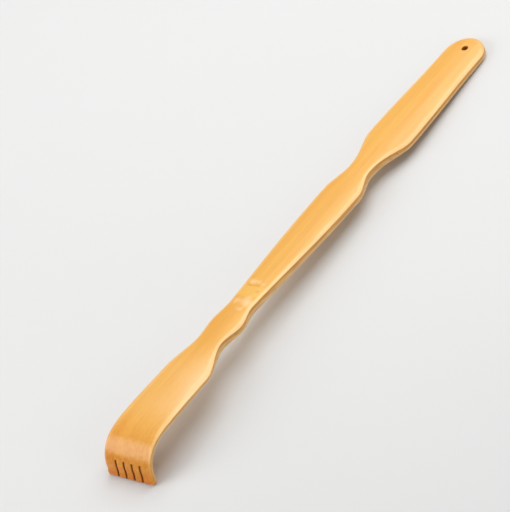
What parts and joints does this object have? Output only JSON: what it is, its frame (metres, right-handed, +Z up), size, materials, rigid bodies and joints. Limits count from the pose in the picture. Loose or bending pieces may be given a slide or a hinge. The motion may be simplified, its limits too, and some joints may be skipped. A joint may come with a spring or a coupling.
{
  "type": "back scratcher",
  "caption": "Bamboo back scratcher: a waisted wooden strip with a broad grip at one end and a heat-bent, sawn claw at the other, with a hole to hang it by.",
  "frame": {"origin": "on the table under the middle of the scratcher's bounding box, as it lies hook down on its tooth tips and its butt", "axes": "+X along the strip from the claw to the butt, +Y across it, +Z up from the table"},
  "size_m": [0.4798, 0.046, 0.0309],
  "materials": {
    "bamboo": "clear satin lacquer over sanded bamboo"
  },
  "bodies": {
    "root": {"grip": "bamboo", "shaft": "bamboo", "knuckle": "bamboo", "head": "bamboo", "claw_bend": "bamboo", "tooth_1": "bamboo", "tooth_2": "bamboo", "tooth_3": "bamboo", "tooth_4": "bamboo", "tooth_5": "bamboo"}
  },
  "joints": []
}
